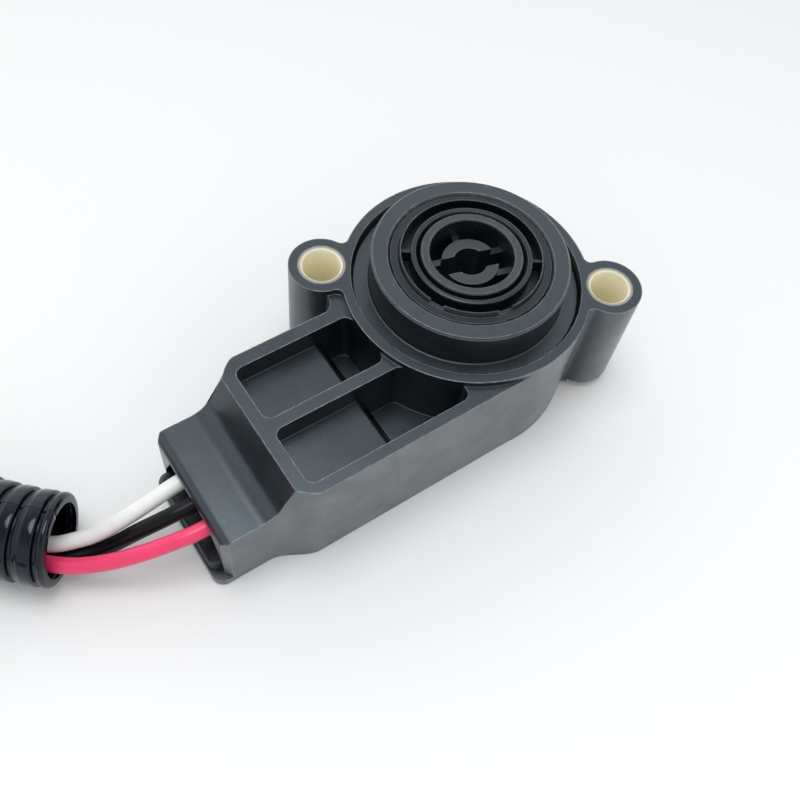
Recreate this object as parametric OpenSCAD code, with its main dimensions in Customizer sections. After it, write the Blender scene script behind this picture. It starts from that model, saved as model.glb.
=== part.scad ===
// Rotary position sensor with a short lead.
// Z is the rotor's axis, z = 0 is the flat base, and the arm and its lead run along -Y.

/* [Round body] */
// Radius of the round body and its rim
body_r = 20.8; // [20.4:0.1:22]
// Height of the rim and ears above the base
housing_h = 23.3; // [22.8:0.1:25]
// Radius of the counterbore that takes the front cover
cover_seat_r = 19.2; // [18.8:0.1:19.8]
// Radius of the chamber that the rotor turns in
chamber_r = 17.6; // [17.2:0.1:18]
// Height of the bulkhead between the rotor and the electronics
bulkhead_z = 9.5; // [9:0.1:10.2]
// Thickness of the bulkhead and of the pocket floors
floor_t = 2; // [1.6:0.1:2.4]

/* [Mounting ears] */
// Distance between the two mounting holes
hole_spacing = 48; // [47:0.5:52]
// Angle of the line through the mounting holes, from +X
ear_angle = 54.6; // [52:0.1:57]
// Radius of each ear
ear_r = 5.5; // [5.2:0.1:6.2]
// Outer radius of the metal bushings
bushing_r = 3.87; // [3.6:0.01:4.3]
// Radius of the bolt hole in each bushing
bolt_hole_r = 3.2; // [2.6:0.05:3.3]
// Height of the ears' feet above the base
ear_foot_z = 1; // [0.5:0.1:3]
// Rounding of the ears' lower edges
ear_round_r = 1; // [0.6:0.1:1.4]
// Fillet between each ear and the rim
ear_fillet_r = 1.2; // [0.8:0.1:2]
// Fillet between the left ear and the arm
valley_r = 2.85; // [2.4:0.05:3.2]

/* [Arm] */
// How far the arm's top lies below the rim
arm_step = 1.1; // [0.6:0.1:1.8]
// Left face of the arm
arm_left_x = -6.1; // [-6.6:0.1:-5.8]
// Right face of the arm
arm_right_x = 20.7; // [20.3:0.1:20.9]
// Reach of the arm's top from the rotor's axis
arm_reach = 43.6; // [42.5:0.1:46]
// Wall left of the left pocket
left_wall = 2.3; // [2:0.1:2.6]
// Wall right of the right pocket
right_wall = 1.9; // [1.6:0.1:2.2]
// Wall between the pockets and the ramp
end_wall = 2.5; // [2.2:0.1:3]
// Thickness of the rib between the pockets
rib_t = 2.1; // [1.6:0.1:2.6]
// Middle of the rib between the pockets
rib_x = 7.4; // [6.5:0.1:8.5]
// Depth of the pockets below the arm's top
pocket_depth = 4; // [3:0.1:5]
// Radius of the pockets' corners
pocket_corner_r = 1.5; // [0.8:0.1:2]
// Width of the deep trench across each pocket
trench_w = 2.6; // [2:0.1:2.8]
// Distance of that trench's near side from the rotor's axis
trench_y = 23.6; // [23:0.1:24]
// Height of the low shelf between the trench and the round body
shelf_z = 11.5; // [11:0.1:14]
// Rounding of the pocket floor's edge above the trench
floor_round_r = 1; // [0.6:0.1:1.4]
// Wall between the trench and the electronics
trench_wall = 1.3; // [1.1:0.1:1.6]
// Thickness of the arm's outer walls round the electronics
wall_t = 2.4; // [2:0.1:2.6]

/* [Wire shroud] */
// Left face of the shroud
shroud_left_x = -4.1; // [-4.6:0.1:-3.8]
// Right face of the shroud
shroud_right_x = 17.8; // [17.4:0.1:18.6]
// Height of the shroud
shroud_h = 14.6; // [14.4:0.1:16]
// Reach of the shroud's mouth from the rotor's axis
shroud_reach = 55.6; // [54:0.1:58]
// Thickness of the shroud's walls
shroud_wall = 1.5; // [1.2:0.1:1.6]
// Radius of the shroud's outer edges at the mouth
mouth_round_r = 1.6; // [1:0.1:2]
// Length of the ramp from the arm's top to the shroud
ramp_l = 3.6; // [3:0.1:4.5]
// Length over which the sides draw in from the arm to the shroud
neck_l = 7.8; // [6:0.1:8.4]
// Height above the base where the hollow's sides start to lean in
lean_foot_z = 5.5; // [5:0.1:8]
// How far each side leans in below the ceiling
side_lean = 3.4; // [2:0.1:3.4]
// How far the shroud's floor stands out of the mouth as a sill
sill_out = 1.9; // [1:0.1:2.6]
// Radius of the sill's corners
sill_corner_r = 2; // [1:0.1:2.4]
// Height of the retainer block in the mouth
retainer_h = 3.5; // [2.5:0.1:3.8]
// How far the retainer's front lies behind the sill's edge
retainer_setback = 0.3; // [0.2:0.1:0.8]
// Rounding of the retainer's upper front edge
retainer_round_r = 0.8; // [0.4:0.1:1.2]
// Gap between the retainer and each side wall
retainer_gap = 0.5; // [0.3:0.1:1.2]

/* [Front cover] */
// How far the cover's flange lies below the rim
cover_drop = 1.5; // [1:0.1:2]
// Thickness of the cover's flange
cover_t = 1.8; // [1.6:0.1:2.2]
// Outer radius of the pilot collar
collar_r = 16.25; // [15.8:0.05:16.6]
// Inner radius of the pilot collar
collar_bore_r = 13.3; // [13:0.05:13.8]
// Height of the pilot collar above the rim
collar_h = 5.1; // [4.5:0.1:6]
// Fillet at the collar's foot
collar_fillet_r = 0.3; // [0.2:0.1:0.8]
// Depth of the spigot that centres the cover in the chamber
spigot_l = 2.4; // [2.2:0.1:2.8]
// Thickness of the seal ring round the spigot
seal_d = 1.2; // [1:0.1:1.3]

/* [Bearing ring] */
// Depth of the open groove in the bearing ring
groove_depth = 2.9; // [2:0.1:3.5]
// Outer radius of that groove
groove_outer_r = 11.4; // [11.2:0.05:11.7]
// Inner radius of that groove
groove_inner_r = 9.9; // [9.7:0.05:10.2]
// Height of the ring's two lips above the collar's top
lip_rise = 0.5; // [0.2:0.1:0.8]
// Thickness of the two thin ribs across the groove
groove_rib_t = 0.5; // [0.4:0.1:1]
// Depth of the two notches in the outer lip
notch_depth = 0.6; // [0.4:0.1:1]

/* [Rotor] */
// Outer radius of the rotor's hub
hub_r = 8.3; // [8:0.05:8.5]
// Radius of the open socket inside the hub
socket_r = 6.86; // [6.5:0.02:7]
// Height of the hub above the collar's top
hub_rise = 0.8; // [0.4:0.1:1.5]
// Inner radius of the two jaws
jaw_bore_r = 2.75; // [2.5:0.05:3]
// Outer radius of the two jaws
jaw_r = 4.65; // [4.4:0.05:4.9]
// How far the jaws' tops lie below the hub's top
jaw_drop = 2.2; // [1.5:0.1:3]
// Width of the slot between the jaws
jaw_slot_w = 3.2; // [2.8:0.1:3.8]
// Angle of the slot between the jaws, from +X
jaw_slot_angle = 75; // [60:1:80]
// Thickness of the ribs that brace the jaws
jaw_rib_t = 1.2; // [0.8:0.1:1.4]
// Turn of the rotor from its rest to its far stop, in degrees
rotor_travel = 90; // [60:5:110]
// Radius of the magnet
magnet_r = 4; // [3.5:0.1:4.2]
// Thickness of the magnet
magnet_t = 2.5; // [2:0.1:3]
// Thickness of the steel cup round the magnet
keeper_t = 0.6; // [0.5:0.1:0.7]
// Radius of the journal that carries the magnet
journal_r = 5.6; // [5.5:0.05:6]
// Thickness of the return spring's wire
spring_d = 1.1; // [0.8:0.1:1.2]
// Mean radius of the return spring's turns
spring_r = 11; // [10.8:0.1:11.4]

/* [Electronics] */
// Thickness of the circuit board
board_t = 1.6; // [1.2:0.1:1.6]
// Height of the posts that the board is staked to
board_post_h = 1.5; // [1.5:0.1:1.6]
// Radius of the round end of the board
board_r = 15; // [14:0.1:16]
// Thickness of the rear cover
rear_cover_t = 2; // [1.6:0.1:2.2]
// Width of the ledge that the rear cover seats on
rear_ledge = 1.2; // [1:0.1:1.3]

/* [Lead] */
// Diameter of each wire
wire_d = 2.6; // [2.2:0.1:2.6]
// Spacing of the wires in the shroud
wire_pitch = 4.4; // [4.2:0.1:4.5]
// Sideways place of the middle wire
wire_x = 7.7; // [7.2:0.1:8]
// How far the wires lie below the shroud's ceiling
wire_drop = 2.1; // [1.9:0.1:2.3]
// Outer diameter of the conduit
conduit_d = 14.8; // [14.2:0.1:15]
// Thickness of the conduit's corrugated wall
conduit_wall = 1.6; // [1:0.1:1.7]

/* [Plug] */
// Width of the plug's shell
plug_w = 20; // [19:0.5:24]
// Height of the plug's shell
plug_h = 16; // [14:0.5:16]
// Length of the plug's shell
plug_l = 38; // [36:0.5:44]
// Wall of the plug's shell
plug_wall = 2; // [1.6:0.1:2.4]
// Radius of the plug's corners
plug_corner_r = 3; // [2:0.1:4]
// Radius of the plug's contact pins
plug_pin_r = 0.75; // [0.6:0.05:0.9]

/* [Clearances] */
// Gap between the front cover and its counterbore
cover_gap = 0.2; // [0.1:0.01:0.25]
// Radial clearance of the rotor in its bearings
run_gap = 0.05; // [0.03:0.01:0.08]
// Clearance of pieces that are fitted and stay put
fit_gap = 0.05; // [0.03:0.01:0.08]
// Clearance of moving pieces that should not touch
free_gap = 0.4; // [0.3:0.05:0.5]

/* [Hidden] */
$fn = 96;
eps = 0.01;
black_plastic = [0.17, 0.18, 0.2];

// Main levels
arm_top_z = housing_h - arm_step;
pocket_floor_z = arm_top_z - pocket_depth;
electronics_top_z = bulkhead_z - floor_t;
collar_top_z = housing_h + collar_h;
hub_top_z = collar_top_z + hub_rise;
jaw_top_z = hub_top_z - jaw_drop;
cover_top_z = housing_h - cover_drop;
cover_seat_z = cover_top_z - cover_t;
ear_pos = hole_spacing / 2 * [cos(ear_angle), sin(ear_angle)];

// Pockets in the arm
pocket_left_x = arm_left_x + left_wall;
pocket_right_x = arm_right_x - right_wall;
pocket_end_y = -(arm_reach - end_wall);
corner_keep_y = -0.6 * body_r;

// Electronics space in the arm and below the bulkhead
inner_left_x = arm_left_x + wall_t;
inner_right_x = arm_right_x - wall_t;
inner_end_y = -(arm_reach - wall_t);
inner_r = body_r - wall_t;
trench_far_y = trench_y + trench_w;
tall_space_y = -(trench_far_y + trench_wall);

// Shroud and its inside
shroud_end_y = -shroud_reach;
shroud_in_left_x = shroud_left_x + shroud_wall;
shroud_in_right_x = shroud_right_x - shroud_wall;
shroud_ceiling_z = shroud_h - shroud_wall;
shroud_back_y = inner_end_y - 2;
wire_z = shroud_ceiling_z - wire_drop;
sill_end_y = shroud_end_y - sill_out;
seal_l = 4;
retainer_l = 7;
wire_xs = [wire_x - wire_pitch, wire_x, wire_x + wire_pitch];
wire_r = wire_d / 2;
wire_hole_r = wire_r + fit_gap;
wire_start_y = inner_end_y + 2;

// Cover and bearing ring
spigot_r = chamber_r - fit_gap;
spigot_bottom_z = cover_seat_z - spigot_l;
spigot_wall = 3.2;
ring_shoulder_h = 3;
ring_seat_z = cover_top_z + ring_shoulder_h;
ring_bore_r = collar_bore_r - 1.1;
ring_top_z = collar_top_z - 0.3;
lip_z = collar_top_z + lip_rise;
groove_z = lip_z - groove_depth;
ring_bottom_z = cover_seat_z + 0.4;
mouth_r = hub_r + 0.55;
seal_gap = 0.02;
seal_groove_r = chamber_r - 0.95 * seal_d;
seal_groove_h = seal_d + 0.2;
seal_groove_z = cover_seat_z - 0.4 - seal_groove_h;
notch_angles = [-64, -9];
notch_half = 6;
notch_w = 0.5;

// Rotor
rotor_flange_r = spigot_r - spigot_wall - free_gap;
rotor_flange_top_z = ring_bottom_z - free_gap;
rotor_flange_t = 2.2;
rotor_flange_z = rotor_flange_top_z - rotor_flange_t;
web_top_z = rotor_flange_z + rotor_flange_t;
root = 0.5;
magnet_gap = 0.7;
keeper_bore_r = magnet_r + fit_gap;
keeper_r = keeper_bore_r + keeper_t;
journal_bottom_z = bulkhead_z + magnet_gap;
bearing_wall = 1.6;
bearing_top_z = bulkhead_z + 4;
jaw_rib_top_z = jaw_top_z - 1.5;
lug_h = 2.2;
lug_z = spigot_bottom_z - free_gap - lug_h;
lug_r = chamber_r - 1.1;
lug_neck_t = 1;
lug_inner_r = rotor_flange_r - root / 2 - lug_neck_t;
lug_half = 10;
lug_angle = 200;
stop_bite = 1.3;
stop_half = 6;
stop_play = 0.5;
near_stop_angle = lug_angle - lug_half - stop_half - stop_play;
far_stop_angle = lug_angle + rotor_travel + lug_half + stop_half + stop_play;
spring_turns = 3.25;
spring_low_z = bulkhead_z + spring_d / 2 + fit_gap;
spring_high_z = lug_z + spring_d;
spring_lead = 8;
spring_leg_r = spring_r + 3.2;
spring_bend_r = spring_r + 1.4;
spring_top_angle = lug_angle + lug_half + asin((spring_d / 2 + fit_gap) / lug_inner_r);
spring_foot_angle = spring_top_angle - 360 * spring_turns;
anchor_half = 9;

// Board
board_top_z = electronics_top_z - board_post_h;
board_z = board_top_z - board_t;
board_gap = 0.6;
board_end_y = inner_end_y + 2;
stake_r = 0.7;
stake_stand = 0.4;
post_r = stake_r + 0.9;
board_posts = [[-board_r + 3, 4], [board_r - 3, 4], [1, -22], [13, -22]];
component = [2, 1.2, 0.9];
component_spots = [[-6, -4], [6, -4], [3, -14], [9, -14], [3, -30], [12, -30]];
chip = [5, 4, board_post_h - 0.2];
terminal_y = wire_start_y + 3.5;
terminal_w = 0.8;

// Plug
plug_x = 56;
plug_y = -195;
plug_z = plug_h / 2;
plug_back_l = 9;
plug_web_l = 12;
plug_pitch = 4.4;
plug_front_x = plug_x + plug_l;
plug_web_x = plug_x + plug_back_l;
plug_socket_x = plug_web_x + plug_web_l;
plug_lock_l = 4;
crimp_r = 1.15;
plug_pin_l = 11;
plug_catch = [3, 6, 1];
plug_catch_back = 9;
wire_end_x = plug_web_x + 1;

// Routes of the wires and the conduit
white_route = [[wire_xs[0], wire_start_y, wire_z], [wire_xs[0], -48, wire_z], [3.3, -55.6, wire_z],
    [3.5, -60.4, 10.1], [3.3, -65, 8.7], [2.5, -69.5, 6.8], [1.5, -72.8, 6.1], [0.3, -75.8, 5.9],
    [-2.1, -78.5, 5.8], [-6.1, -81.5, 5.8], [-14.3, -87.6, 5.8], [-23.3, -98.6, 5.8],
    [-30.4, -113.6, 5.8], [-33.1, -131, 5.8], [-29.8, -148.9, 5.8], [-21.2, -165.3, 5.8],
    [-8, -179.6, 5.8], [8.8, -190.7, 5.8], [26.8, -197.1, 5.4], [41, -198.4, 5.5], [48, -199, 6.8],
    [plug_x - 1, plug_y - plug_pitch, plug_z], [wire_end_x, plug_y - plug_pitch, plug_z]];
black_route = [[wire_xs[1], wire_start_y, wire_z], [wire_xs[1], -48, wire_z], [7.7, -56, wire_z],
    [7.2, -60.4, 10.2], [6, -64.6, 8], [4.8, -68, 5.5], [3.7, -71.4, 4.1], [2, -76, 3.6],
    [-0.9, -79.4, 3.6], [-5.1, -82.5, 3.6], [-13.2, -88.6, 3.6], [-22, -99.4, 3.6],
    [-29, -114, 3.6], [-31.6, -131, 3.6], [-28.4, -148.4, 3.6], [-20, -164.4, 3.6],
    [-7, -178.4, 3.6], [9.6, -189, 3.6], [27.2, -194.4, 4], [41, -195, 5], [48, -195, 6.8],
    [plug_x - 1, plug_y, plug_z], [wire_end_x, plug_y, plug_z]];
red_route = [[wire_xs[2], wire_start_y, wire_z], [wire_xs[2], -48, wire_z], [12.1, -56.5, wire_z],
    [11.3, -61, 10.3], [9.9, -65.2, 8.8], [8.2, -69, 7.2], [6.4, -72.5, 6.2], [4.1, -76.1, 5.8],
    [0.1, -80.5, 5.8], [-4.1, -83.7, 5.8], [-12.1, -89.6, 5.8], [-20.7, -100.2, 5.8],
    [-27.6, -114.4, 5.8], [-30.1, -131, 5.8], [-27, -147.9, 5.8], [-18.8, -163.5, 5.8],
    [-6, -177.2, 5.8], [10.4, -187.3, 5.8], [27.6, -191.7, 5.4], [41, -191.6, 5.5], [48, -191, 6.8],
    [plug_x - 1, plug_y + plug_pitch, plug_z], [wire_end_x, plug_y + plug_pitch, plug_z]];
conduit_z = conduit_d / 2;
conduit_route = [[1.1, -74.5, conduit_z], [-2.2, -78.2, conduit_z], [-5.8, -81.7, conduit_z],
    [-13.4, -88.4, conduit_z], [-22, -99.4, conduit_z], [-29, -114, conduit_z],
    [-31.6, -131, conduit_z], [-28.4, -148.4, conduit_z], [-20, -164.4, conduit_z],
    [-7, -178.4, conduit_z], [9.6, -189, conduit_z], [27.2, -194.4, conduit_z], [44, -195, conduit_z]];

function smooth(t) = t * t * (3 - 2 * t);
function mix(a, b, t) = a + (b - a) * t;
function unit(v) = v / norm(v);
function on_circle(r, a) = r * [cos(a), sin(a)];

// Direction of a route at point i
function heading(p, i) = unit(p[min(i + 1, len(p) - 1)] - p[max(i - 1, 0)]);
function side(h) = unit(cross(h, [0, 0, 1]));
// One ring of a tube: n points at radius r about point i of the route
function tube_ring(p, i, r, n) = let (h = heading(p, i), s = side(h), u = cross(s, h))
    [for (k = [0:n - 1]) p[i] + r * cos(360 * k / n) * s + r * sin(360 * k / n) * u];
function tube_points(p, r, n) = [for (i = [0:len(p) - 1]) each tube_ring(p, i, r, n)];
function tube_walls(rings, n, base, flip) = [for (i = [0:rings - 2], k = [0:n - 1])
    let (a = base + i * n + k, b = base + i * n + (k + 1) % n, q = [a, a + n, b + n, b])
    flip ? [q[3], q[2], q[1], q[0]] : q];

module tube(route, r, n) {
    count = len(route);
    caps = [[for (k = [0:n - 1]) k], [for (k = [n - 1:-1:0]) (count - 1) * n + k]];
    polyhedron(tube_points(route, r, n), concat(tube_walls(count, n, 0, false), caps));
}

module hollow_tube(route, outer_r, inner_r, n) {
    count = len(route);
    inner = count * n;
    last = (count - 1) * n;
    start_rim = [for (k = [0:n - 1]) let (m = (k + 1) % n) [k, m, inner + m, inner + k]];
    end_rim = [for (k = [0:n - 1]) let (m = (k + 1) % n)
        [last + k, inner + last + k, inner + last + m, last + m]];
    polyhedron(
        concat(tube_points(route, outer_r, n), tube_points(route, inner_r, n)),
        concat(tube_walls(count, n, 0, false), tube_walls(count, n, inner, true), start_rim, end_rim));
}

module rounded_rect(x0, y0, x1, y1, r) {
    translate([x0 + r, y0]) square([x1 - x0 - 2 * r, y1 - y0]);
    translate([x0, y0 + r]) square([x1 - x0, y1 - y0 - 2 * r]);
    for (x = [x0 + r, x1 - r], y = [y0 + r, y1 - r])
        translate([x, y]) circle(r);
}

module ring(outer_r, inner_r, z0, z1) {
    translate([0, 0, z0]) difference() {
        cylinder(r = outer_r, h = z1 - z0);
        translate([0, 0, -1]) cylinder(r = inner_r, h = z1 - z0 + 2);
    }
}

// A wedge of a ring between two angles
module arc_block(outer_r, inner_r, z0, z1, a0, a1) {
    translate([0, 0, z0]) rotate([0, 0, a0])
        rotate_extrude(angle = a1 - a0) translate([inner_r, 0]) square([outer_r - inner_r, z1 - z0]);
}

// Fillet that fills the corner between the rim and an ear on +X
module ear_web(fillet_r) {
    reach = hole_spacing / 2;
    to_rim = body_r + fillet_r;
    to_ear = ear_r + fillet_r;
    turn = acos((reach * reach + to_rim * to_rim - to_ear * to_ear) / (2 * reach * to_rim));
    difference() {
        polygon([[0, 0], on_circle(to_rim, -turn), [reach, 0], on_circle(to_rim, turn)]);
        for (a = [-turn, turn])
            translate(on_circle(to_rim, a)) circle(fillet_r);
    }
}

module rim_outline() {
    circle(body_r);
    for (a = [ear_angle, ear_angle + 180])
        rotate(a) ear_web(ear_fillet_r);
}

// Post with a rounded lower edge
module ear_post() {
    low_round = [for (i = [0:6]) let (a = -90 + 15 * i)
        [ear_r - ear_round_r + ear_round_r * cos(a), ear_foot_z + ear_round_r + ear_round_r * sin(a)]];
    rotate_extrude() polygon(concat([[0, ear_foot_z]], low_round, [[ear_r, housing_h], [0, housing_h]]));
}

module ear_posts() {
    for (s = [1, -1])
        translate([s * ear_pos[0], s * ear_pos[1], 0]) ear_post();
}

module ear_holes() {
    for (s = [1, -1])
        translate([s * ear_pos[0], s * ear_pos[1], 0])
            cylinder(r = bushing_r + fit_gap / 2, h = housing_h + 1);
}

// Corner between the arm's left face and the left ear, hollowed by a round valley
module valley_outline() {
    valley = [arm_left_x - valley_r + 0.2, -ear_pos[1] - 1.72 * valley_r];
    difference() {
        polygon([[arm_left_x + eps, valley[1]], [valley[0], valley[1]], [-ear_pos[0], -ear_pos[1]],
            [arm_left_x + eps, -ear_pos[1] + ear_r]]);
        translate(valley) circle(valley_r);
    }
}

module arm_outline() {
    translate([arm_left_x, -(arm_reach - 3.2)])
        square([arm_right_x - arm_left_x, arm_reach - 3.2]);
}

// Side view of the ramp and shroud: [distance from the axis, height]
function ramp_points() = [for (i = [0:12]) let (t = i / 12)
    [arm_reach + ramp_l * t, mix(arm_top_z, shroud_h, pow(smooth(t), 0.8))]];
function mouth_round() = [for (i = [0:6]) let (a = 90 - 15 * i)
    [shroud_reach - mouth_round_r * (1 - cos(a)), shroud_h - mouth_round_r * (1 - sin(a))]];

module shroud_side_view() {
    polygon(concat([[arm_reach - 6, 0], [arm_reach - 6, arm_top_z]], ramp_points(), mouth_round(),
        [[shroud_reach, 0]]));
}

function neck_points(from_x, to_x) = [for (i = [0:12]) let (t = i / 12)
    [mix(from_x, to_x, smooth(t)), -(arm_reach - 3.2 + neck_l * t)]];
function reversed(p) = [for (i = [len(p) - 1:-1:0]) p[i]];

module shroud_plan() {
    corner = mouth_round_r * 0.6;
    polygon(concat(
        [[arm_left_x, -(arm_reach - 6)]],
        neck_points(arm_left_x, shroud_left_x),
        [[shroud_left_x, shroud_end_y + corner], [shroud_left_x + corner, shroud_end_y],
            [shroud_right_x - corner, shroud_end_y], [shroud_right_x, shroud_end_y + corner]],
        reversed(neck_points(arm_right_x, shroud_right_x)),
        [[arm_right_x, -(arm_reach - 6)]]));
}

module shroud_form() {
    intersection() {
        linear_extrude(housing_h) shroud_plan();
        rotate([90, 0, -90]) translate([0, 0, -2 * body_r]) linear_extrude(4 * body_r)
            shroud_side_view();
    }
}

// Section of the hollow, narrowed by a clearance: upright low down, leaning in towards the ceiling
module hollow_outline(gap) {
    lean = [shroud_in_left_x + side_lean + gap, shroud_in_right_x - side_lean - gap];
    polygon([[shroud_in_left_x + gap, shroud_wall + gap], [shroud_in_right_x - gap, shroud_wall + gap],
        [shroud_in_right_x - gap, lean_foot_z], [lean[1], shroud_ceiling_z - gap],
        [lean[0], shroud_ceiling_z - gap], [shroud_in_left_x + gap, lean_foot_z]]);
}

module shroud_hollow() {
    translate([0, shroud_back_y, 0]) rotate([90, 0, 0]) linear_extrude(shroud_reach) hollow_outline(0);
}

module sill() {
    linear_extrude(shroud_wall)
        rounded_rect(shroud_left_x, sill_end_y, shroud_right_x, shroud_end_y + 2 * sill_corner_r,
            sill_corner_r);
}

// What fills a pocket's corner between its side wall at x and the round body, outside a round fillet
module corner_fill(x, inward) {
    reach = body_r + pocket_corner_r;
    c = [x + inward * pocket_corner_r, -sqrt(reach * reach - pow(x + inward * pocket_corner_r, 2))];
    t = c * body_r / reach;
    difference() {
        polygon([c, [x - inward, c[1]], [x - inward, t[1] + 1], [t[0], t[1] + 1], t]);
        translate(c) circle(pocket_corner_r);
    }
}

module pocket_outline(x0, x1) {
    difference() {
        rounded_rect(x0, pocket_end_y, x1, corner_keep_y, pocket_corner_r);
        circle(body_r);
        corner_fill(x0, 1);
        if (x1 < rib_x) corner_fill(x1, -1);
    }
}

// Side view of a pocket: flat floor, rounded edge, trench and low shelf
module pocket_side_view() {
    edge = [for (i = [0:6]) let (a = 90 - 15 * i)
        [-trench_far_y - floor_round_r + floor_round_r * cos(a),
            pocket_floor_z - floor_round_r + floor_round_r * sin(a)]];
    polygon(concat([[-arm_reach, housing_h], [-arm_reach, pocket_floor_z]], edge,
        [[-trench_far_y, bulkhead_z], [-trench_y, bulkhead_z], [-trench_y, shelf_z], [0, shelf_z],
            [0, housing_h]]));
}

module pocket(x0, x1) {
    intersection() {
        translate([0, 0, bulkhead_z - 1]) linear_extrude(housing_h) pocket_outline(x0, x1);
        translate([x0 - 1, 0, 0]) rotate([90, 0, 90]) linear_extrude(x1 - x0 + 2) pocket_side_view();
    }
}

module pockets() {
    pocket(pocket_left_x, rib_x - rib_t / 2);
    pocket(rib_x + rib_t / 2, pocket_right_x);
}

module electronics_outline(inset) {
    circle(inner_r + rear_ledge - inset);
    translate([inner_left_x - rear_ledge + inset, inner_end_y - rear_ledge + inset])
        square([inner_right_x - inner_left_x + 2 * (rear_ledge - inset), arm_reach]);
}

module electronics_space() {
    translate([0, 0, rear_cover_t]) linear_extrude(electronics_top_z - rear_cover_t) intersection() {
        electronics_outline(rear_ledge);
        union() {
            circle(inner_r);
            translate([inner_left_x, -arm_reach]) square([inner_right_x - inner_left_x, arm_reach]);
        }
    }
    translate([inner_left_x, inner_end_y, rear_cover_t])
        cube([inner_right_x - inner_left_x, tall_space_y - inner_end_y,
            pocket_floor_z - floor_t - rear_cover_t]);
    translate([0, 0, -1]) linear_extrude(rear_cover_t + 1) intersection() {
        electronics_outline(0);
        union() {
            circle(inner_r + rear_ledge);
            translate([inner_left_x - rear_ledge, -arm_reach])
                square([inner_right_x - inner_left_x + 2 * rear_ledge, arm_reach]);
        }
    }
}

module wire_holes(r, y0, y1) {
    for (x = wire_xs)
        translate([x, y0, wire_z]) rotate([-90, 0, 0]) cylinder(r = r, h = y1 - y0);
}

module housing_solid() {
    difference() {
        union() {
            translate([0, 0, arm_top_z - eps]) linear_extrude(arm_step + eps) rim_outline();
            linear_extrude(arm_top_z) {
                circle(body_r);
                arm_outline();
            }
            translate([0, 0, ear_foot_z]) linear_extrude(arm_top_z - ear_foot_z) {
                rim_outline();
                valley_outline();
            }
            ear_posts();
            shroud_form();
            sill();
        }
        pockets();
        translate([0, 0, cover_seat_z]) cylinder(r = cover_seat_r, h = housing_h);
        translate([0, 0, bulkhead_z]) cylinder(r = chamber_r, h = housing_h);
        ear_holes();
        electronics_space();
        shroud_hollow();
        wire_holes(wire_hole_r, shroud_back_y - 1, inner_end_y + 1);
    }
}

// Block with a slot that holds the spring's lower leg
module spring_anchor() {
    slot = spring_d + 2 * fit_gap;
    difference() {
        arc_block(chamber_r + 1, spring_bend_r + spring_d / 2, bulkhead_z - eps, spring_low_z + spring_d,
            spring_foot_angle - anchor_half, spring_foot_angle + anchor_half);
        rotate([0, 0, spring_foot_angle]) translate([spring_r, -slot / 2, bulkhead_z])
            cube([spring_leg_r + fit_gap - spring_r, slot, 2 * spring_d + 1]);
    }
}

module housing() color(black_plastic) {
    housing_solid();
    ring(journal_r + run_gap + bearing_wall, journal_r + run_gap, bulkhead_z - eps, bearing_top_z);
    for (a = [near_stop_angle, far_stop_angle])
        arc_block(chamber_r + 1, lug_r - stop_bite, bulkhead_z - eps, spigot_bottom_z - 2 * fit_gap,
            a - stop_half, a + stop_half);
    spring_anchor();
    for (p = board_posts) {
        translate([p[0], p[1], board_top_z]) cylinder(r = post_r, h = board_post_h + eps);
        translate([p[0], p[1], board_z - stake_stand])
            cylinder(r = stake_r, h = board_t + stake_stand + eps);
    }
}

module bushing() color([0.78, 0.72, 0.5]) {
    chamfer = 0.3;
    rotate_extrude() polygon([[bolt_hole_r, ear_foot_z + chamfer], [bolt_hole_r + chamfer, ear_foot_z],
        [bushing_r, ear_foot_z], [bushing_r, housing_h], [bolt_hole_r + chamfer, housing_h],
        [bolt_hole_r, housing_h - chamfer]]);
}

module bushing_left() translate([-ear_pos[0], -ear_pos[1], 0]) bushing();
module bushing_right() translate([ear_pos[0], ear_pos[1], 0]) bushing();

function collar_foot() = [for (i = [0:6]) let (a = 270 - 15 * i)
    [collar_r + collar_fillet_r + collar_fillet_r * cos(a),
        cover_top_z + collar_fillet_r + collar_fillet_r * sin(a)]];

module front_cover() color(black_plastic) {
    flange_r = cover_seat_r - cover_gap;
    edge = 0.3;
    rotate_extrude() polygon(concat(
        [[spigot_r - spigot_wall, spigot_bottom_z], [spigot_r, spigot_bottom_z],
            [spigot_r, seal_groove_z], [seal_groove_r, seal_groove_z],
            [seal_groove_r, seal_groove_z + seal_groove_h], [spigot_r, seal_groove_z + seal_groove_h],
            [spigot_r, cover_seat_z], [flange_r, cover_seat_z],
            [flange_r, cover_top_z - edge], [flange_r - edge, cover_top_z]],
        collar_foot(),
        [[collar_r, collar_top_z - edge], [collar_r - edge, collar_top_z],
            [collar_bore_r + edge, collar_top_z], [collar_bore_r, collar_top_z - edge],
            [collar_bore_r, ring_seat_z], [ring_bore_r, ring_seat_z], [ring_bore_r, ring_bottom_z],
            [spigot_r - spigot_wall, ring_bottom_z]]));
}

module cover_seal() color([0.2, 0.2, 0.2]) {
    section_r = (chamber_r - seal_groove_r - 2 * seal_gap) / 2;
    rotate_extrude() translate([seal_groove_r + seal_gap + section_r, seal_groove_z + seal_groove_h / 2])
        circle(section_r);
}

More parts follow.
